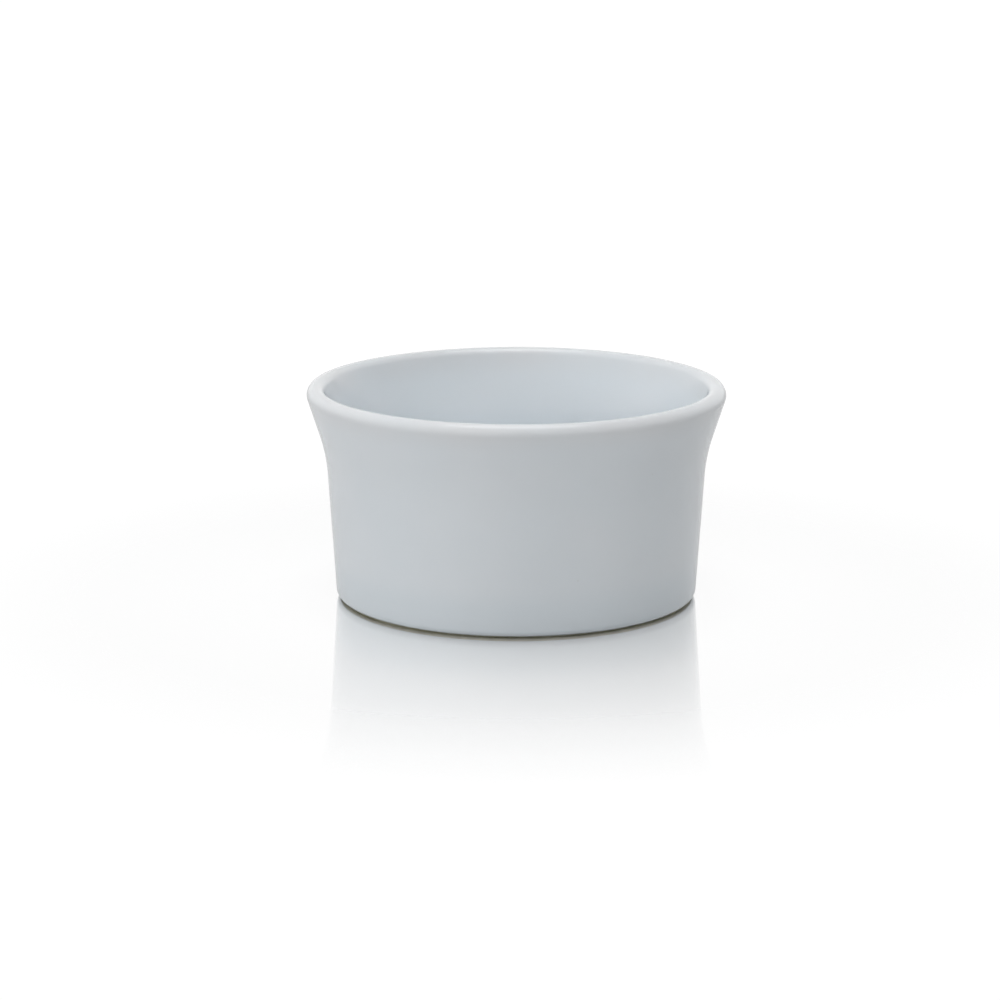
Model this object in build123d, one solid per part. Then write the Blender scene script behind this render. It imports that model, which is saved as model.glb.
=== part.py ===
from build123d import *

import os
from math import cos, isclose, radians, sin, tan
from typing import NamedTuple

# A white glazed porcelain ramekin with a flared rim, in millimetres and degrees.
# It is one fired clay body, a glaze over its inside, lip and outside, and a second glaze in the
# recess under it. The origin is the centre of the foot ring's resting plane, with +Z up.
# Angles in the half section run from the X axis, which points outwards, towards Y, which is up.

# Cup, measured over the glaze
rim_diameter = 90.0
height = 46.4
base_diameter = 77.7  # the wall's outer line, carried down to the resting plane
wall_thickness = 4.0
wall_draft = 3.75  # outwards from the vertical
flare_angle = 18.0  # outwards from the vertical
flare_radius = 39.0  # hollow curve outside, between the wall and the flare
heel_radius = 1.6
floor_thickness = 3.9
floor_corner_radius = 7.0

# Glaze
glaze_thickness = 0.3
dry_angle = 24.0  # from the bottom of the heel up to where the glaze stops

# Foot ring, bare and ground flat
foot_height = 0.65  # from the resting plane to the clay beside the ring
foot_inset = 0.6  # from the bottom of the heel to the ring's outer side
foot_width = 3.2
foot_edge_share = 0.35  # of the foot's height
recess_depth = 1.7  # from the resting plane to the glaze under the floor

wall_band_count = 2  # in the straight wall outside


class Tangents(NamedTuple):
    """How many tangents stand for each round stretch of a surface."""

    heel_count: int
    outer_bend_count: int
    lip_counts: tuple  # outer shoulder, outer quarter and inner side
    inner_bend_count: int
    corner_count: int


on_glaze = Tangents(
    heel_count=2,
    outer_bend_count=2,
    lip_counts=(1, 3, 2),
    inner_bend_count=2,
    corner_count=3,
)
on_clay = Tangents(
    heel_count=1,
    outer_bend_count=1,
    lip_counts=(1, 2, 2),
    inner_bend_count=2,
    corner_count=3,
)

# Directions in the half section
steep_angle = 80.0
UP = Vector(0, 1)


def toward(angle):
    """Direction at an angle."""
    return Vector(cos(radians(angle)), sin(radians(angle)))


def on_line(point, angle, level):
    """Where the line through a point at an angle crosses a level."""
    return point + toward(angle) * ((level - point.Y) / sin(radians(angle)))


def round_off(centre, radius, start, end, count):
    """Points where tangents meet along an arc between two angles, as many as the count."""
    half_step = (end - start) / count / 2
    reach = radius / cos(radians(half_step))
    return [centre + toward(start + half_step * (2 * place + 1)) * reach for place in range(count)]


def in_bands(first, last, count):
    """Points that divide a straight stretch into bands."""
    return [first + (last - first) * (place / count) for place in range(1, count)]


def straight(first, last):
    """Straight edge. A steep slant is a two-point curve, whose turned band has one row of facets."""
    run = last - first
    if isclose(first.X, last.X) or abs(run.Y) < abs(run.X) * tan(radians(steep_angle)):
        return Line(first, last)
    return Bezier(first, last)


def turned(outline):
    """Solid of revolution from the points round a half section."""
    edges = [straight(first, last) for first, last in zip(outline, outline[1:] + outline[:1])]
    return revolve(Plane.XZ * make_face(edges), Axis.Z)


# Middle line of the wall: up the drafted wall, round the bend and up the flare to the lip
wall_up = 90 - wall_draft
flare_up = 90 - flare_angle
half_wall = wall_thickness / 2
wall_start = Vector(base_diameter / 2, 0) - toward(-wall_draft) * half_wall
lip_centre = Vector(rim_diameter / 2 - half_wall, height - half_wall)
bend_middle_radius = flare_radius + half_wall
bend_run = bend_middle_radius * tan(radians((flare_angle - wall_draft) / 2))
across = lip_centre - wall_start
wall_run = across.cross(toward(flare_up)).Z / toward(wall_up).cross(toward(flare_up)).Z
bend_start = wall_start + toward(wall_up) * (wall_run - bend_run)
bend_centre = bend_start + toward(-wall_draft) * bend_middle_radius

# Heel outside, and the corner between wall and floor inside
inner_floor_level = recess_depth + floor_thickness
clay_heel_radius = heel_radius - glaze_thickness
dry_line = dry_angle - 90
heel_centre = on_line(
    wall_start + toward(-wall_draft) * (half_wall - heel_radius),
    wall_up,
    foot_height + clay_heel_radius,
)
corner_centre = on_line(
    wall_start - toward(-wall_draft) * (half_wall + floor_corner_radius),
    wall_up,
    inner_floor_level + floor_corner_radius,
)


def lip(radius, counts):
    """Half turn over the lip, with one tangent upright and one level."""
    points = []
    turns = (-flare_angle, 0, 90, 180 - flare_angle)
    for start, end, count in zip(turns, turns[1:], counts):
        points += round_off(lip_centre, radius, start, end, count)
    return points


def cup_surface(depth, tangents):
    """Half section at a depth under the glazed surface, from the dry line over the lip to the axis."""
    wall_side = 180 - wall_draft
    flare_side = 180 - flare_angle
    heel_reach = heel_radius - depth
    outer_reach = flare_radius + depth
    inner_reach = flare_radius + wall_thickness - depth
    corner_reach = floor_corner_radius + depth
    heel = round_off(heel_centre, heel_reach, dry_line, -wall_draft, tangents.heel_count)
    outer_bend = round_off(bend_centre, outer_reach, wall_side, flare_side, tangents.outer_bend_count)
    inner_bend = round_off(bend_centre, inner_reach, flare_side, wall_side, tangents.inner_bend_count)
    corner = round_off(corner_centre, corner_reach, -wall_draft, -90, tangents.corner_count)
    return [
        heel_centre + toward(dry_line) * heel_reach,
        *heel,
        *in_bands(heel[-1], outer_bend[0], wall_band_count),
        *outer_bend,
        *lip(half_wall - depth, tangents.lip_counts),
        *inner_bend,
        *corner,
        UP * (inner_floor_level - depth),
    ]


# Foot ring
foot_outer = heel_centre.X - foot_inset
foot_inner = foot_outer - foot_width
foot_edge = foot_edge_share * foot_height
recess_ceiling = recess_depth + glaze_thickness


def make_porcelain_body():
    """Clay under the glaze, with its bare foot ring and the recess inside that."""
    cup = cup_surface(glaze_thickness, on_clay)
    ring = [
        Vector(foot_outer, foot_height),
        Vector(foot_outer, foot_edge),
        Vector(foot_outer - foot_edge, 0),
        Vector(foot_inner + foot_edge, 0),
        Vector(foot_inner, foot_edge),
    ]
    recess = [Vector(foot_inner, recess_ceiling), UP * recess_ceiling]
    return turned(cup[::-1] + ring + recess)


def make_glaze_coat():
    """Glaze from the dry line over the wall, lip and floor, down to the clay under it."""
    return turned(cup_surface(0, on_glaze) + cup_surface(glaze_thickness, on_clay)[::-1])


def make_base_glaze():
    """Glaze on the recess's ceiling, as far as the wiped side of the foot ring."""
    under_face = [UP * recess_depth, Vector(foot_inner, recess_depth)]
    clay_face = [Vector(foot_inner, recess_ceiling), UP * recess_ceiling]
    return turned(under_face + clay_face)


parts = {
    "porcelain_body": make_porcelain_body(),
    "glaze_coat": make_glaze_coat(),
    "base_glaze": make_base_glaze(),
}

os.makedirs("parts", exist_ok=True)
for name, solid in parts.items():
    solid.label = name
    export_step(solid, f"parts/{name}.step")
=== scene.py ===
import logging
from dataclasses import dataclass, field
from enum import Enum
from math import cos, radians, sin, tan

import bpy
from bpy.types import Light, Material, Node, NodeSocket, NodeTree, Object
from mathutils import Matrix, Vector


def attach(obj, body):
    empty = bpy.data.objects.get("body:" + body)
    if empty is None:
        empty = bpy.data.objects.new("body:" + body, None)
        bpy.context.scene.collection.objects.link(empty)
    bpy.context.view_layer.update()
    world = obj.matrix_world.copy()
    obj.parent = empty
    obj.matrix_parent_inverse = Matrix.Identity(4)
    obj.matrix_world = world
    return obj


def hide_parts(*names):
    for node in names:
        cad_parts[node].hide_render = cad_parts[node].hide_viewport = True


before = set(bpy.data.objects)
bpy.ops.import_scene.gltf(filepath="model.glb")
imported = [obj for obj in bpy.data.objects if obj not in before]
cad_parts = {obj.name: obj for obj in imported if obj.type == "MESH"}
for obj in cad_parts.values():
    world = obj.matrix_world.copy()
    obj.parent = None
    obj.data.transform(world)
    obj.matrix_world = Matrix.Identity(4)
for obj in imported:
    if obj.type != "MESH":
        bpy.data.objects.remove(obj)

# A white glazed porcelain ramekin with a flared rim, standing on a polished white floor.
# Sizes of the ramekin and the floor are in millimetres and degrees, and become metres when a mesh
# or a pattern is made. Places and sizes of the lamps and the camera are in metres.

MM = 0.001
POLE_RADIUS = 1.5  # of the last ring before a shell closes on the axis
log = logging.getLogger("ramekin")

Colour = tuple[float, float, float, float]
Stops = tuple[tuple[float, float], ...]


class Part(Enum):
    """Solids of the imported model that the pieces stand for."""

    PORCELAIN_BODY = "porcelain_body"
    GLAZE_COAT = "glaze_coat"
    BASE_GLAZE = "base_glaze"


class Finish(Enum):
    """Names of the ramekin's finishes."""

    BISQUE = "bisque"
    GLAZE = "glaze"
    BASE_GLAZE = "base_glaze"


# Nodes and colours


def linear(code: str) -> Colour:
    """Turn an sRGB hex colour to linear, by the two stretches of the sRGB curve.

    Args:
        code: Colour as "#RRGGBB".

    Returns:
        Red, green, blue and an alpha of 1.
    """
    values = [int(code[place : place + 2], 16) / 255 for place in (1, 3, 5)]
    red, green, blue = [
        value / 12.92 if value <= 0.04045 else ((value + 0.055) / 1.055) ** 2.4
        for value in values
    ]
    return red, green, blue, 1.0


def add_node(
    tree: NodeTree, kind: str, settings: dict | None = None, links: dict | None = None
) -> Node:
    """Add a node with its settings, socket values and links.

    Args:
        tree: Tree that takes the node.
        kind: Blender's name for the type of node.
        settings: Values by the name of a node's property, or by the name or number of a socket.
        links: Output sockets by the name or number of the input that each feeds.

    Returns:
        The new node.
    """
    node = tree.nodes.new(kind)
    for key, value in (settings or {}).items():
        if isinstance(key, str) and hasattr(node, key):
            setattr(node, key, value)
        else:
            node.inputs[key].default_value = value
    for key, source in (links or {}).items():
        tree.links.new(source, node.inputs[key])
    return node


def grey(level: float) -> Colour:
    """Linear grey of a level."""
    return level, level, level, 1.0


def set_ramp(node: Node, stops: Stops, reach: float) -> NodeSocket:
    """Give a colour ramp its greys by distance.

    Args:
        node: Colour ramp node.
        stops: Distances with their levels, in order.
        reach: Distance at which the ramp ends.

    Returns:
        The ramp's colour output.
    """
    elements = node.color_ramp.elements
    while len(elements) < len(stops):
        elements.new(1.0)
    for element, (distance, level) in zip(elements, stops):
        element.position = distance / reach
        element.color = grey(level)
    return node.outputs["Color"]


def find_seeing_rays(tree: NodeTree, path: Node) -> NodeSocket:
    """Tell the rays that see the white room from those that light the ramekin.

    Args:
        tree: Tree that takes the nodes.
        path: Light path node of that tree.

    Returns:
        1 for a camera, glossy or transmission ray, and 0 for any other.
    """
    seen = add_node(
        tree,
        "ShaderNodeMath",
        {"operation": "MAXIMUM"},
        {0: path.outputs["Is Camera Ray"], 1: path.outputs["Is Glossy Ray"]},
    )
    through = add_node(
        tree,
        "ShaderNodeMath",
        {"operation": "MAXIMUM"},
        {0: seen.outputs["Value"], 1: path.outputs["Is Transmission Ray"]},
    )
    return through.outputs["Value"]


@dataclass(frozen=True)
class PorcelainGlaze:
    """Clear glossy feldspar glaze over white porcelain, dipped and fired to about 1300 degrees.

    The eye reads one cool, nearly white gloss. It is a touch less blue where the glaze runs thinly
    over the lip, and a touch greyer there as painted shade that tones down the strong light on the
    lip. It is bluer where it lies thick in the hollows. Long soft waves and a fine orange peel
    bend its reflections a little.
    """

    name: str = "Glossy porcelain glaze"
    middle: str = "#E2E7EB"
    # Lip tint: less blue for thinner glaze, greyer as painted shade on the brightly lit lip.
    thin_and_shaded: str = "#E0E2E4"
    thin_and_shaded_band: float = 7.0  # below the lip
    pooled: str = "#DBE3E8"
    pool_band: float = 6.0  # above the floor
    pool_share: float = 0.7
    # Levels of the long waves between which the pooled tint comes in, and how far it does.
    cloud_range: tuple[float, float] = (0.3, 0.7)
    cloud_share: float = 0.35
    ior: float = 1.5
    roughness: float = 0.06
    roughness_range: tuple[float, float] = (0.8, 1.25)  # shares of the roughness
    wave_size: float = 16.0
    wave_height: float = 0.035
    peel_size: float = 1.4
    peel_height: float = 0.0016
    # Iron specks of the clay that show faintly through the glaze, sized as shares of their spacing.
    speck: str = "#B9B4A6"
    speck_share: float = 0.2
    speck_spacing: float = 11.0
    speck_core: float = 0.012
    speck_edge: float = 0.02

    def material(self, lip_level: float, floor_level: float) -> Material:
        """Make the material.

        Args:
            lip_level: Top of the lip in millimetres, where the glaze is thinnest.
            floor_level: Level inside where the glaze pools, in millimetres.

        Returns:
            The glaze's material.
        """
        material = bpy.data.materials.new(self.name)
        material.use_nodes = True
        tree = material.node_tree
        tree.nodes.clear()
        place = add_node(tree, "ShaderNodeTexCoord").outputs["Object"]
        axes = add_node(tree, "ShaderNodeSeparateXYZ", links={"Vector": place})
        clouds = add_node(
            tree,
            "ShaderNodeTexNoise",
            {"Scale": 1 / (self.wave_size * MM), "Detail": 2.0, "Roughness": 0.4},
            {"Vector": place},
        )
        toward_lip = add_node(
            tree,
            "ShaderNodeMapRange",
            {
                "interpolation_type": "SMOOTHSTEP",
                "From Min": (lip_level - self.thin_and_shaded_band) * MM,
                "From Max": lip_level * MM,
            },
            {"Value": axes.outputs["Z"]},
        )
        toward_floor = add_node(
            tree,
            "ShaderNodeMapRange",
            {
                "interpolation_type": "SMOOTHSTEP",
                "From Min": (floor_level + self.pool_band) * MM,
                "From Max": floor_level * MM,
                "To Max": self.pool_share,
            },
            {"Value": axes.outputs["Z"]},
        )
        pooled = add_node(
            tree,
            "ShaderNodeMix",
            {"data_type": "RGBA", 6: linear(self.middle), 7: linear(self.pooled)},
            {0: toward_floor.outputs["Result"]},
        )
        # Lip tint: thinner glaze, and painted shade that tones down the lip's light.
        lipped = add_node(
            tree,
            "ShaderNodeMix",
            {"data_type": "RGBA", 7: linear(self.thin_and_shaded)},
            {0: toward_lip.outputs["Result"], 6: pooled.outputs[2]},
        )
        cloud_low, cloud_high = self.cloud_range
        cloudy = add_node(
            tree,
            "ShaderNodeMapRange",
            {"From Min": cloud_low, "From Max": cloud_high, "To Max": self.cloud_share},
            {"Value": clouds.outputs["Fac"]},
        )
        varied = add_node(
            tree,
            "ShaderNodeMix",
            {"data_type": "RGBA", 7: linear(self.pooled)},
            {0: cloudy.outputs["Result"], 6: lipped.outputs[2]},
        )
        cells = add_node(
            tree,
            "ShaderNodeTexVoronoi",
            {"Scale": 1 / (self.speck_spacing * MM), "Randomness": 1.0},
            {"Vector": place},
        )
        speck = add_node(
            tree,
            "ShaderNodeMapRange",
            {
                "From Min": self.speck_edge,
                "From Max": self.speck_core,
                "To Max": self.speck_share,
            },
            {"Value": cells.outputs["Distance"]},
        )
        colour = add_node(
            tree,
            "ShaderNodeMix",
            {"data_type": "RGBA", 7: linear(self.speck)},
            {0: speck.outputs["Result"], 6: varied.outputs[2]},
        )
        peel = add_node(
            tree,
            "ShaderNodeTexNoise",
            {"Scale": 1 / (self.peel_size * MM), "Detail": 1.0},
            {"Vector": place},
        )
        smoothest, roughest = [self.roughness * share for share in self.roughness_range]
        gloss = add_node(
            tree,
            "ShaderNodeMapRange",
            {"To Min": smoothest, "To Max": roughest},
            {"Value": clouds.outputs["Fac"]},
        )
        waves = add_node(
            tree,
            "ShaderNodeBump",
            {"Strength": 1.0, "Distance": self.wave_height * MM},
            {"Height": clouds.outputs["Fac"]},
        )
        skin = add_node(
            tree,
            "ShaderNodeBump",
            {"Strength": 1.0, "Distance": self.peel_height * MM},
            {"Height": peel.outputs["Fac"], "Normal": waves.outputs["Normal"]},
        )
        shader = add_node(
            tree,
            "ShaderNodeBsdfPrincipled",
            {"IOR": self.ior},
            {
                "Base Color": colour.outputs[2],
                "Roughness": gloss.outputs["Result"],
                "Normal": skin.outputs["Normal"],
            },
        )
        add_node(tree, "ShaderNodeOutputMaterial", links={"Surface": shader.outputs["BSDF"]})
        return material


@dataclass(frozen=True)
class BarePorcelain:
    """Unglazed porcelain, wiped at the heel and ground flat under the foot.

    The eye reads a matte, dry, pale cream with a faint olive tint, stained in soft patches, with a
    fine sandy grit, and darker than the glaze beside it.
    """

    name: str = "Bare ground porcelain"
    clay: str = "#E2DFC6"
    stain: str = "#C0BC9A"
    ior: float = 1.5
    roughness: float = 0.85
    # The real grit is about 0.05 mm across. It is drawn coarser, so that it shows.
    grit_size: float = 0.22
    grit_height: float = 0.02
    grit_range: tuple[float, float] = (0.55, 0.75)
    grit_share: float = 0.5
    stain_size: float = 6.0
    stain_range: tuple[float, float] = (0.35, 0.7)

    def material(self) -> Material:
        """Make the material.

        Returns:
            The bare clay's material.
        """
        material = bpy.data.materials.new(self.name)
        material.use_nodes = True
        tree = material.node_tree
        tree.nodes.clear()
        place = add_node(tree, "ShaderNodeTexCoord").outputs["Object"]
        stains = add_node(
            tree,
            "ShaderNodeTexNoise",
            {"Scale": 1 / (self.stain_size * MM), "Detail": 4.0, "Roughness": 0.6},
            {"Vector": place},
        )
        grit = add_node(
            tree,
            "ShaderNodeTexNoise",
            {"Scale": 1 / (self.grit_size * MM), "Detail": 2.0},
            {"Vector": place},
        )
        stain_low, stain_high = self.stain_range
        patches = add_node(
            tree,
            "ShaderNodeMapRange",
            {"From Min": stain_low, "From Max": stain_high},
            {"Value": stains.outputs["Fac"]},
        )
        stained = add_node(
            tree,
            "ShaderNodeMix",
            {"data_type": "RGBA", 6: linear(self.clay), 7: linear(self.stain)},
            {0: patches.outputs["Result"]},
        )
        grit_low, grit_high = self.grit_range
        dots = add_node(
            tree,
            "ShaderNodeMapRange",
            {"From Min": grit_low, "From Max": grit_high, "To Max": self.grit_share},
            {"Value": grit.outputs["Fac"]},
        )
        colour = add_node(
            tree,
            "ShaderNodeMix",
            {"data_type": "RGBA", 7: linear(self.stain)},
            {0: dots.outputs["Result"], 6: stained.outputs[2]},
        )
        sandy = add_node(
            tree,
            "ShaderNodeBump",
            {"Strength": 1.0, "Distance": self.grit_height * MM},
            {"Height": grit.outputs["Fac"]},
        )
        shader = add_node(
            tree,
            "ShaderNodeBsdfPrincipled",
            {"IOR": self.ior, "Roughness": self.roughness},
            {"Base Color": colour.outputs[2], "Normal": sandy.outputs["Normal"]},
        )
        add_node(tree, "ShaderNodeOutputMaterial", links={"Surface": shader.outputs["BSDF"]})
        return material


# Shapes turned on the ramekin's axis


def toward(angle: float) -> Vector:
    """Direction at an angle in the half section, from outwards towards up."""
    return Vector((cos(radians(angle)), sin(radians(angle))))


def arc(centre: Vector, radius: float, start: float, end: float, steps: int) -> list[Vector]:
    """Points along an arc in the half section.

    Args:
        centre: Centre of the arc.
        radius: Radius of the arc.
        start: First angle.
        end: Last angle.
        steps: How many stretches the arc has.

    Returns:
        The arc's points with both ends.
    """
    turns = [start + (end - start) * place / steps for place in range(steps + 1)]
    return [centre + toward(turn) * radius for turn in turns]


def between(first: Vector, last: Vector, steps: int) -> list[Vector]:
    """Points that divide a straight stretch, without its ends."""
    return [first.lerp(last, place / steps) for place in range(1, steps)]


@dataclass(frozen=True)
class Divisions:
    """How many stretches each run of the cup's half section has at a fineness of 1."""

    heel: int = 3
    wall: int = 5
    bend: int = 4
    flare: int = 2
    lip: int = 9
    inner_wall: int = 4
    corner: int = 6
    floor: int = 4


@dataclass(frozen=True)
class CupSection:
    """Half section of the cup: drafted wall, hollow bend, flare, round lip and rounded corner."""

    rim_diameter: float = 90.0
    height: float = 46.4
    base_diameter: float = 77.7
    wall_thickness: float = 4.0
    wall_draft: float = 3.75
    flare_angle: float = 18.0
    flare_radius: float = 39.0
    heel_radius: float = 1.6
    floor_thickness: float = 3.9
    floor_corner_radius: float = 7.0
    glaze_thickness: float = 0.3
    dry_angle: float = 24.0
    foot_height: float = 0.65
    recess_depth: float = 1.7
    divisions: Divisions = Divisions()

    @property
    def half_wall(self) -> float:
        """Half the wall's thickness."""
        return self.wall_thickness / 2

    @property
    def inner_floor(self) -> float:
        """Level of the floor inside."""
        return self.recess_depth + self.floor_thickness

    @property
    def wall_start(self) -> Vector:
        """Where the wall's middle line meets the resting plane."""
        return Vector((self.base_diameter / 2, 0)) - toward(-self.wall_draft) * self.half_wall

    @property
    def lip_centre(self) -> Vector:
        """Centre of the round lip."""
        return Vector((self.rim_diameter / 2 - self.half_wall, self.height - self.half_wall))

    @property
    def bend_centre(self) -> Vector:
        """Centre of the bend between the wall and the flare."""
        wall_way = toward(90 - self.wall_draft)
        flare_way = toward(90 - self.flare_angle)
        reach = self.flare_radius + self.half_wall
        across = self.lip_centre - self.wall_start
        run = across.cross(flare_way) / wall_way.cross(flare_way)
        run -= reach * tan(radians((self.flare_angle - self.wall_draft) / 2))
        return self.wall_start + wall_way * run + toward(-self.wall_draft) * reach

    def offset_at(self, offset: float, level: float) -> Vector:
        """Point at a level on a line beside the wall's middle line.

        Args:
            offset: Distance outwards from the middle line, square to it.
            level: Level of the point.

        Returns:
            The point.
        """
        way = toward(90 - self.wall_draft)
        start = self.wall_start + toward(-self.wall_draft) * offset
        return start + way * ((level - start.y) / way.y)

    @property
    def heel_centre(self) -> Vector:
        """Centre of the round heel outside."""
        level = self.foot_height + self.heel_radius - self.glaze_thickness
        return self.offset_at(self.half_wall - self.heel_radius, level)

    @property
    def corner_centre(self) -> Vector:
        """Centre of the round corner inside."""
        level = self.inner_floor + self.floor_corner_radius
        return self.offset_at(-self.half_wall - self.floor_corner_radius, level)

    def surface(self, depth: float, heel_start: float, fineness: int) -> list[Vector]:
        """Points from the heel over the lip to the middle of the floor.

        Args:
            depth: Distance under the glazed surface.
            heel_start: Angle at which the heel starts.
            fineness: How finely every stretch is divided.

        Returns:
            The points, without the one on the axis.
        """
        count = self.divisions
        wall = -self.wall_draft
        flare = -self.flare_angle
        heel_reach = self.heel_radius - depth
        heel = arc(self.heel_centre, heel_reach, heel_start, wall, count.heel * fineness)
        outer_reach = self.flare_radius + depth
        inner_reach = self.flare_radius + self.wall_thickness - depth
        bend_steps = count.bend * fineness
        bend_out = arc(self.bend_centre, outer_reach, 180 + wall, 180 + flare, bend_steps)
        bend_in = arc(self.bend_centre, inner_reach, 180 + flare, 180 + wall, bend_steps)
        lip_reach = self.half_wall - depth
        lip = arc(self.lip_centre, lip_reach, flare, 180 + flare, count.lip * fineness)
        corner_reach = self.floor_corner_radius + depth
        corner = arc(self.corner_centre, corner_reach, wall, -90, count.corner * fineness)
        middle = Vector((POLE_RADIUS, corner[-1].y))
        return [
            *heel,
            *between(heel[-1], bend_out[0], count.wall * fineness),
            *bend_out,
            *between(bend_out[-1], lip[0], count.flare * fineness),
            *lip,
            *between(lip[-1], bend_in[0], count.flare * fineness),
            *bend_in,
            *between(bend_in[-1], corner[0], count.inner_wall * fineness),
            *corner,
            *between(corner[-1], middle, count.floor * fineness),
            middle,
        ]


def select_only(piece: Object) -> None:
    """Select one object alone and make it the active one."""
    bpy.ops.object.select_all(action="DESELECT")
    piece.select_set(True)
    bpy.context.view_layer.objects.active = piece


class Turning:
    """Shell raised ring by ring from one circle, as clay is on a wheel."""

    ring_slack: float = 0.01  # within which a vertex belongs to a ring
    merge_distance: float = 0.0005

    def __init__(self, name: str, first: Vector, sides: int) -> None:
        """Start the shell with its first ring.

        Args:
            name: Name of the piece.
            first: Radius and level of the ring, in millimetres.
            sides: How many sides the ring has.
        """
        if bpy.context.mode != "OBJECT":
            bpy.ops.object.mode_set(mode="OBJECT")
        bpy.ops.object.select_all(action="DESELECT")
        bpy.ops.mesh.primitive_circle_add(
            vertices=sides,
            radius=first.x * MM,
            fill_type="NOTHING",
            location=(0, 0, first.y * MM),
        )
        bpy.ops.object.transform_apply(location=True, rotation=True, scale=True)
        self.piece: Object = bpy.context.active_object
        self.piece.name = name
        self.piece.data.name = name
        self.last = first
        bpy.ops.object.mode_set(mode="EDIT")
        bpy.ops.mesh.select_mode(type="VERT")
        bpy.ops.mesh.select_all(action="SELECT")

    def raise_to(self, point: Vector) -> None:
        """Extrude the last ring to a new radius and level.

        Args:
            point: Radius and level of the new ring, in millimetres.
        """
        rise = (point.y - self.last.y) * MM
        share = point.x / self.last.x
        bpy.ops.mesh.extrude_region_move(TRANSFORM_OT_translate={"value": (0, 0, rise)})
        bpy.ops.transform.resize(value=(share, share, 1), center_override=(0, 0, point.y * MM))
        self.last = point

    def raise_through(self, points: list[Vector]) -> None:
        """Extrude rings through all the points."""
        for point in points:
            self.raise_to(point)

    def close(self) -> None:
        """Close the last ring to a point on the axis."""
        bpy.ops.mesh.extrude_region_move(TRANSFORM_OT_translate={"value": (0, 0, 0)})
        bpy.ops.mesh.merge(type="CENTER")

    def pick_ring(self, point: Vector) -> None:
        """Select the ring that passes through a radius and level.

        Args:
            point: Radius and level of the ring, in millimetres.
        """
        bpy.ops.mesh.select_all(action="DESELECT")
        bpy.ops.object.mode_set(mode="OBJECT")
        for vertex in self.piece.data.vertices:
            reach = Vector((Vector(vertex.co.xy).length, vertex.co.z))
            vertex.select = (reach - point * MM).length < self.ring_slack * MM
        bpy.ops.object.mode_set(mode="EDIT")
        self.last = point

    def finish(self) -> Object:
        """Merge doubles, turn the faces outwards and shade the shell smooth.

        Returns:
            The finished shell.
        """
        bpy.ops.mesh.select_all(action="SELECT")
        bpy.ops.mesh.remove_doubles(threshold=self.merge_distance * MM)
        bpy.ops.mesh.normals_make_consistent(inside=False)
        bpy.ops.object.mode_set(mode="OBJECT")
        select_only(self.piece)
        bpy.ops.object.shade_smooth()
        return self.piece


def apply_modifier(piece: Object, kind: str, settings: dict) -> None:
    """Add a modifier to a piece and apply it.

    Args:
        piece: Piece that takes the modifier.
        kind: Blender's name for the type of modifier.
        settings: Values by the name of the modifier's property.
    """
    modifier = piece.modifiers.new(kind.title(), kind)
    for key, value in settings.items():
        setattr(modifier, key, value)
    select_only(piece)
    bpy.ops.object.modifier_apply(modifier=modifier.name)


def smooth_by_angle(piece: Object, angle: float) -> None:
    """Shade a piece smooth but for edges sharper than an angle in degrees."""
    select_only(piece)
    bpy.ops.object.shade_smooth_by_angle(angle=radians(angle))


def settle(piece: Object, part: Part, material: Material) -> Object:
    """Dress a piece and let it stand for its solid.

    Args:
        piece: Finished piece.
        part: Solid that the piece stands for.
        material: Its material.

    Returns:
        The piece.
    """
    piece.data.materials.clear()
    piece.data.materials.append(material)
    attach(piece, "root")
    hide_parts(part.value)
    return piece


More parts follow.
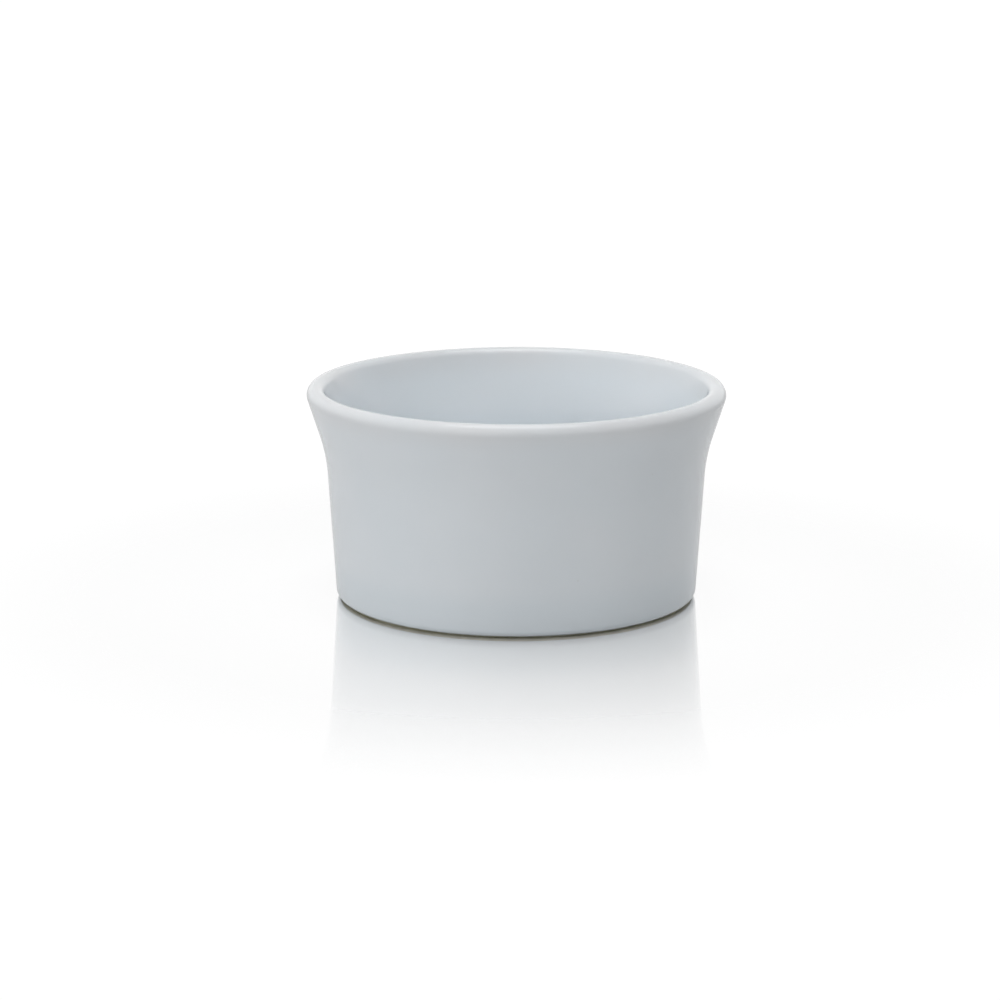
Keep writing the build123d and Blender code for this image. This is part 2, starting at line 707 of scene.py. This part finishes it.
@dataclass
class Ramekin:
    """The whole ramekin: clay body, glaze coat and the glaze under its base."""

    section: CupSection = field(default_factory=CupSection)
    glaze: PorcelainGlaze = field(default_factory=PorcelainGlaze)
    clay: BarePorcelain = field(default_factory=BarePorcelain)
    sides: int = 256
    glaze_fineness: int = 3
    clay_fineness: int = 2
    foot_inset: float = 0.6
    foot_width: float = 3.2
    foot_edge_share: float = 0.35  # of the foot's height
    foot_steps: int = 4
    recess_steps: int = 8
    # Bevel of the coat where it stops at the dry line, and the angle past which an edge gets it.
    coat_edge: float = 0.1
    coat_edge_angle: float = 50.0
    # Angles past which an edge is shaded sharp.
    coat_crease: float = 60.0
    body_crease: float = 40.0
    base_edge_steps: int = 6
    base_top_steps: int = 6
    base_under_steps: int = 12
    wall_waver: float = 0.12
    waver_size: float = 28.0
    # Levels between which the waver grows from nothing to its full depth.
    waver_start: float = 4.0
    waver_full: float = 20.0

    @property
    def foot_outer(self) -> float:
        """Outer radius of the foot ring."""
        return self.section.heel_centre.x - self.foot_inset

    @property
    def foot_inner(self) -> float:
        """Inner radius of the foot ring."""
        return self.foot_outer - self.foot_width

    @property
    def foot_edge(self) -> float:
        """Radius of the foot ring's rounded edges."""
        return self.foot_edge_share * self.section.foot_height

    def waver(self, piece: Object) -> None:
        """Let the fired walls and lip wander a little, and leave the foot true.

        Args:
            piece: Shell that is shaped.
        """
        group = piece.vertex_groups.new(name="wander")
        start = self.waver_start * MM
        full = self.waver_full * MM
        for vertex in piece.data.vertices:
            share = min(max((vertex.co.z - start) / (full - start), 0.0), 1.0)
            group.add([vertex.index], share, "REPLACE")
        clouds = bpy.data.textures.get("Wander") or bpy.data.textures.new("Wander", "CLOUDS")
        clouds.noise_scale = self.waver_size * MM
        clouds.noise_depth = 1
        apply_modifier(
            piece,
            "DISPLACE",
            {
                "texture": clouds,
                "texture_coords": "LOCAL",
                "direction": "NORMAL",
                "mid_level": 0.5,
                "strength": self.wall_waver * MM,
                "vertex_group": group.name,
            },
        )
        piece.vertex_groups.clear()

    def make_glaze_coat(self) -> Object:
        """Model the glaze from the dry line over the lip to the floor inside.

        Returns:
            The glaze coat.
        """
        section = self.section
        points = section.surface(0.0, section.dry_angle - 90, self.glaze_fineness)
        shell = Turning("glaze_coat_skin", points[0], self.sides)
        shell.raise_through(points[1:])
        shell.close()
        piece = shell.finish()
        self.waver(piece)
        apply_modifier(
            piece,
            "SOLIDIFY",
            {
                "thickness": section.glaze_thickness * MM,
                "offset": -1.0,
                "use_even_offset": True,
            },
        )
        apply_modifier(
            piece,
            "BEVEL",
            {
                "width": self.coat_edge * MM,
                "segments": 2,
                "limit_method": "ANGLE",
                "angle_limit": radians(self.coat_edge_angle),
            },
        )
        smooth_by_angle(piece, self.coat_crease)
        material = self.glaze.material(section.height, section.inner_floor)
        return settle(piece, Part.GLAZE_COAT, material)

    def make_clay_body(self) -> Object:
        """Model the fired clay under the glaze, with its bare foot ring.

        Returns:
            The clay body.
        """
        section = self.section
        edge = self.foot_edge
        ceiling = section.recess_depth + section.glaze_thickness
        steps = self.foot_steps
        start = Vector((POLE_RADIUS, ceiling))
        inner_side = Vector((self.foot_inner, ceiling))
        inner_round = arc(Vector((self.foot_inner + edge, edge)), edge, 180, 270, steps)
        outer_round = arc(Vector((self.foot_outer - edge, edge)), edge, -90, 0, steps)
        outer_side = Vector((self.foot_outer, section.foot_height))
        ring = [
            *between(start, inner_side, self.recess_steps),
            inner_side,
            *inner_round,
            *between(inner_round[-1], outer_round[0], steps),
            *outer_round,
            outer_side,
        ]
        cup = section.surface(section.glaze_thickness, -90, self.clay_fineness)
        body = Turning("porcelain_body_clay", start, self.sides)
        body.raise_through(ring + cup)
        body.close()
        body.pick_ring(start)
        body.close()
        piece = body.finish()
        self.waver(piece)
        smooth_by_angle(piece, self.body_crease)
        return settle(piece, Part.PORCELAIN_BODY, self.clay.material())

    def make_base_glaze(self) -> Object:
        """Model the glaze on the recess's ceiling, with a round edge at the foot ring.

        Returns:
            The base glaze.
        """
        section = self.section
        thickness = section.glaze_thickness
        top = section.recess_depth + thickness
        edge = thickness / 2
        start = Vector((POLE_RADIUS, top))
        edge_centre = Vector((self.foot_inner - edge, section.recess_depth + edge))
        rim = arc(edge_centre, edge, 90, -90, self.base_edge_steps)
        under = Vector((POLE_RADIUS, section.recess_depth))
        skin = Turning("base_glaze_skin", start, self.sides)
        skin.raise_through(between(start, rim[0], self.base_top_steps))
        skin.raise_through(rim)
        skin.raise_through([*between(rim[-1], under, self.base_under_steps), under])
        skin.close()
        skin.pick_ring(start)
        skin.close()
        piece = skin.finish()
        material = self.glaze.material(section.height, section.recess_depth)
        material.name = "Glossy porcelain glaze under the base"
        return settle(piece, Part.BASE_GLAZE, material)

    def build(self) -> list[Object]:
        """Build every piece.

        Returns:
            The ramekin's pieces.
        """
        return [self.make_clay_body(), self.make_glaze_coat(), self.make_base_glaze()]


# Room, light and camera


@dataclass(frozen=True)
class Floor:
    """Polished white floor, such as coated glass.

    The eye reads a white plane that mirrors what stands on it, less with the distance from it, and
    takes a faint shade close to the foot.
    """

    # Under the round outer edge of the foot ring, so that no light from below shows past it.
    hole_radius: float = 36.6
    reach: float = 5000.0
    sides: int = 256
    ring_growth: float = 1.35
    ring_count: int = 16
    roughness: float = 0.03
    matte: str = "#E0E0E0"
    # Shares of mirror and of matte shade, by distance from the ramekin's axis.
    fade_reach: float = 160.0
    mirror_stops: Stops = (
        (38.8, 0.82),
        (40.5, 0.74),
        (43.0, 0.72),
        (57.0, 0.62),
        (70.0, 0.47),
        (88.0, 0.32),
        (104.0, 0.18),
        (122.0, 0.08),
        (148.0, 0.0),
    )
    shade_stops: Stops = (
        (37.8, 1.0),
        (38.6, 0.5),
        (39.6, 0.28),
        (52.0, 0.18),
        (90.0, 0.16),
        (150.0, 0.0),
    )
    # A little over 1, which makes up for the shade's share, so that the open floor is white.
    shine: float = 1.03
    # Level at which gloss sees the floor, near what the lamps give it.
    shine_in_gloss: float = 0.7

    def material(self) -> Material:
        """Make the floor's material.

        Returns:
            The floor's material.
        """
        material = bpy.data.materials.new("Polished white floor")
        material.use_nodes = True
        tree = material.node_tree
        tree.nodes.clear()
        path = add_node(tree, "ShaderNodeLightPath")
        place = add_node(tree, "ShaderNodeTexCoord").outputs["Object"]
        distance = add_node(tree, "ShaderNodeVectorMath", {"operation": "LENGTH"}, {0: place})
        share = add_node(
            tree,
            "ShaderNodeMapRange",
            {"From Min": 0.0, "From Max": self.fade_reach * MM},
            {"Value": distance.outputs["Value"]},
        )
        ramps = [
            set_ramp(
                add_node(tree, "ShaderNodeValToRGB", links={"Fac": share.outputs["Result"]}),
                stops,
                self.fade_reach,
            )
            for stops in (self.mirror_stops, self.shade_stops)
        ]
        fade, shade = ramps
        matte = add_node(tree, "ShaderNodeBsdfDiffuse", {"Color": linear(self.matte)})
        level = add_node(
            tree,
            "ShaderNodeMapRange",
            {"To Min": self.shine_in_gloss, "To Max": self.shine},
            {"Value": path.outputs["Is Camera Ray"]},
        )
        shining = add_node(
            tree,
            "ShaderNodeEmission",
            {"Color": grey(1.0)},
            {"Strength": level.outputs["Result"]},
        )
        white = add_node(
            tree,
            "ShaderNodeMixShader",
            links={0: shade, 1: shining.outputs["Emission"], 2: matte.outputs["BSDF"]},
        )
        mirror = add_node(
            tree,
            "ShaderNodeBsdfAnisotropic",
            {"Color": grey(1.0), "Roughness": self.roughness},
        )
        mirrored = add_node(
            tree,
            "ShaderNodeMath",
            {"operation": "MULTIPLY"},
            {0: fade, 1: path.outputs["Is Camera Ray"]},
        )
        polished = add_node(
            tree,
            "ShaderNodeMixShader",
            links={
                0: mirrored.outputs["Value"],
                1: white.outputs["Shader"],
                2: mirror.outputs["BSDF"],
            },
        )
        lit = add_node(
            tree,
            "ShaderNodeMixShader",
            links={
                0: find_seeing_rays(tree, path),
                1: matte.outputs["BSDF"],
                2: polished.outputs["Shader"],
            },
        )
        below = add_node(tree, "ShaderNodeBsdfTransparent")
        side = add_node(tree, "ShaderNodeNewGeometry")
        one_sided = add_node(
            tree,
            "ShaderNodeMixShader",
            links={
                0: side.outputs["Backfacing"],
                1: lit.outputs["Shader"],
                2: below.outputs["BSDF"],
            },
        )
        add_node(tree, "ShaderNodeOutputMaterial", links={"Surface": one_sided.outputs["Shader"]})
        return material

    def build(self) -> Object:
        """Lay the floor round the foot ring, open under it so that light reaches the base.

        Returns:
            The floor.
        """
        hole = Vector((self.hole_radius, 0))
        floor = Turning("white_floor", hole, self.sides)
        steps = range(1, self.ring_count + 1)
        radii = [self.hole_radius * self.ring_growth**step for step in steps]
        floor.raise_through([Vector((radius, 0)) for radius in [*radii, self.reach]])
        piece = floor.finish()
        if piece.data.polygons[0].normal.z < 0:
            piece.data.flip_normals()
        piece.data.materials.append(self.material())
        return piece


@dataclass(frozen=True)
class Softbox:
    """Round softbox that points at the ramekin.

    Attributes:
        name: Name of the lamp.
        place: Where it hangs.
        size: Width and height of its face.
        power: Its power in watts.
        colour: Colour of its light.
        in_gloss: Whether the glaze mirrors it.
        aim_level: Level on the ramekin's axis that it points at.
    """

    name: str
    place: tuple[float, float, float]
    size: tuple[float, float]
    power: float
    colour: str = "#FFFFFF"
    in_gloss: bool = True
    aim_level: float = 0.025

    def build(self) -> Object:
        """Hang the lamp and turn it to the ramekin.

        Returns:
            The lamp.
        """
        bpy.ops.object.light_add(type="AREA", location=self.place)
        lamp: Object = bpy.context.active_object
        lamp.name = self.name
        lamp.visible_camera = False
        lamp.visible_glossy = self.in_gloss
        light: Light = lamp.data
        light.shape = "ELLIPSE"
        light.size, light.size_y = self.size
        light.energy = self.power
        light.color = linear(self.colour)[:3]
        way = Vector((0, 0, self.aim_level)) - Vector(self.place)
        lamp.rotation_euler = way.to_track_quat("-Z", "Y").to_euler()
        return lamp


@dataclass
class Studio:
    """White room with soft lamps, and the camera.

    One softbox overhead shows in the glaze. The others only fill, and the one below the floor
    lights the base where the ramekin is seen from underneath.
    """

    floor: Floor = field(default_factory=Floor)
    lamps: tuple[Softbox, ...] = (
        Softbox("Overhead softbox", (0.0, 0.14, 1.49), (1.0, 0.95), 6.0),
        Softbox("Overhead fill", (0.0, -0.15, 1.49), (0.9, 0.9), 5.4, in_gloss=False),
        Softbox("Front fill", (0.0, -1.06, 1.085), (0.9, 0.8), 8.4, in_gloss=False),
        Softbox("Left fill", (-1.45, -0.13, 0.33), (0.9, 0.55), 6.2, in_gloss=False),
        Softbox("Back left fill", (-1.03, 1.03, 0.33), (0.9, 0.55), 1.8, in_gloss=False),
        Softbox("Back right fill", (1.03, 1.03, 0.33), (0.9, 0.55), 6.2, in_gloss=False),
        Softbox("Under fill", (0.0, -0.4, -1.42), (0.9, 0.9), 12.0, in_gloss=False),
    )
    ambient: float = 0.04
    tint: str = "#F7FAFF"
    camera_distance: float = 0.79
    camera_elevation: float = 12.79
    camera_centre: float = 0.023  # level on the axis that the distance runs from
    # Degrees by which the camera looks to the left of the axis and below that level.
    turn: float = 0.254
    tip: float = 0.156
    lens: float = 131.6
    sensor: float = 36.0
    nearest: float = 0.01

    def make_world(self) -> None:
        """Make the white room: plain light on the ramekin, white behind it and in its gloss."""
        world = bpy.data.worlds.new("White room")
        bpy.context.scene.world = world
        world.use_nodes = True
        tree = world.node_tree
        tree.nodes.clear()
        path = add_node(tree, "ShaderNodeLightPath")
        plain = add_node(
            tree,
            "ShaderNodeBackground",
            {"Color": linear(self.tint), "Strength": self.ambient},
        )
        white = add_node(tree, "ShaderNodeBackground", {"Color": grey(1.0), "Strength": 1.0})
        mixed = add_node(
            tree,
            "ShaderNodeMixShader",
            links={
                0: find_seeing_rays(tree, path),
                1: plain.outputs["Background"],
                2: white.outputs["Background"],
            },
        )
        add_node(tree, "ShaderNodeOutputWorld", links={"Surface": mixed.outputs["Shader"]})

    def make_camera(self) -> None:
        """Set the camera at the height and distance of the photograph's."""
        rise = radians(self.camera_elevation)
        centre = Vector((0, 0, self.camera_centre))
        place = Vector((0, -cos(rise), sin(rise))) * self.camera_distance + centre
        ahead = Vector((0, cos(rise), -sin(rise)))
        up = Vector((0, sin(rise), cos(rise)))
        ahead = ahead * cos(radians(self.turn)) - Vector((1, 0, 0)) * sin(radians(self.turn))
        ahead = ahead * cos(radians(self.tip)) - up * sin(radians(self.tip))
        facing = ahead.to_track_quat("-Z", "Y").to_euler()
        bpy.ops.object.camera_add(location=place, rotation=facing)
        camera = bpy.context.active_object
        camera.name = "Camera"
        camera.data.lens = self.lens
        camera.data.sensor_width = self.sensor
        camera.data.clip_start = self.nearest
        bpy.context.scene.camera = camera

    def build(self) -> None:
        """Build the room, the lamps and the camera."""
        self.make_camera()
        self.make_world()
        self.floor.build()
        for lamp in self.lamps:
            lamp.build()
        bpy.context.scene.view_settings.view_transform = "Standard"


def main() -> None:
    """Build the room and the ramekin, and log how many faces each piece has."""
    logging.basicConfig(level=logging.INFO)
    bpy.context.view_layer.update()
    Studio().build()
    for piece in Ramekin().build():
        log.info("%s has %d faces", piece.name, len(piece.data.polygons))


if __name__ == "__main__":
    main()
